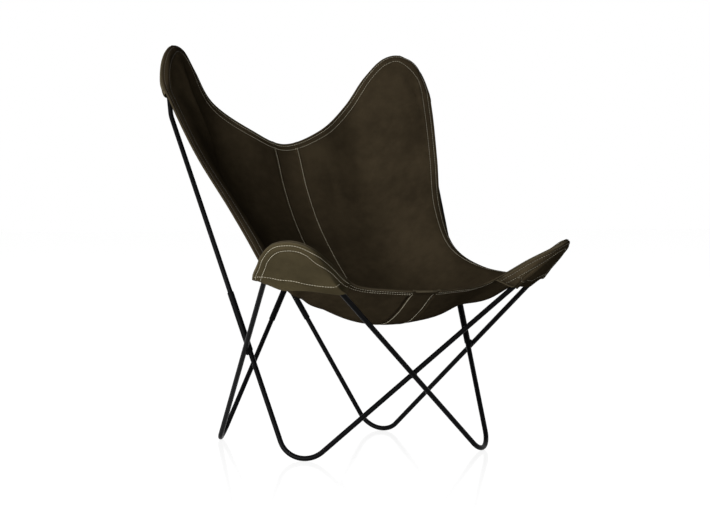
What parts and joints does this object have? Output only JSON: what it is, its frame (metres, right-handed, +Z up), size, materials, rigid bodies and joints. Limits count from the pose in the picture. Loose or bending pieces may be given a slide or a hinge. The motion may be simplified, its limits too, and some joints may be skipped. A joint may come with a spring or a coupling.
{
  "type": "butterfly sling chair",
  "caption": "Low lounge chair: bent black steel rods cross into an open frame, and a stitched leather sling hangs from its corner pockets as seat and back",
  "frame": {"origin": "the middle of the chair's box, on the floor", "axes": "+Z up, -Y the chair's front, +X to the right as seen from the front"},
  "size_m": [0.735, 0.7662, 0.8948],
  "materials": {
    "rod": "black satin paint on bent steel rod",
    "weld": "black paint over a small weld bead",
    "sling": "smooth dark olive-brown leather, low sheen",
    "band": "smooth dark olive-brown leather, low sheen",
    "pocket": "the same leather in one thickness, a little lighter and matter",
    "hem": "flesh side of the turned edge, matt"
  },
  "bodies": {
    "root": {"base_rod_left": "rod", "upright_left": "rod", "sleeve_side_left": "rod", "sleeve_back_left": "rod", "base_rod_right": "rod", "upright_right": "rod", "sleeve_side_right": "rod", "sleeve_back_right": "rod", "weld_front": "weld", "weld_back": "weld", "weld_left": "weld", "weld_right": "weld", "sling_panel_left": "sling", "sling_panel_right": "sling", "sling_centre_band": "band", "pocket_back_left": "pocket", "pocket_back_right": "pocket", "pocket_front_left": "pocket", "pocket_front_right": "pocket", "hem_top": "hem", "hem_front": "hem", "hem_left": "hem", "hem_right": "hem"}
  },
  "joints": []
}
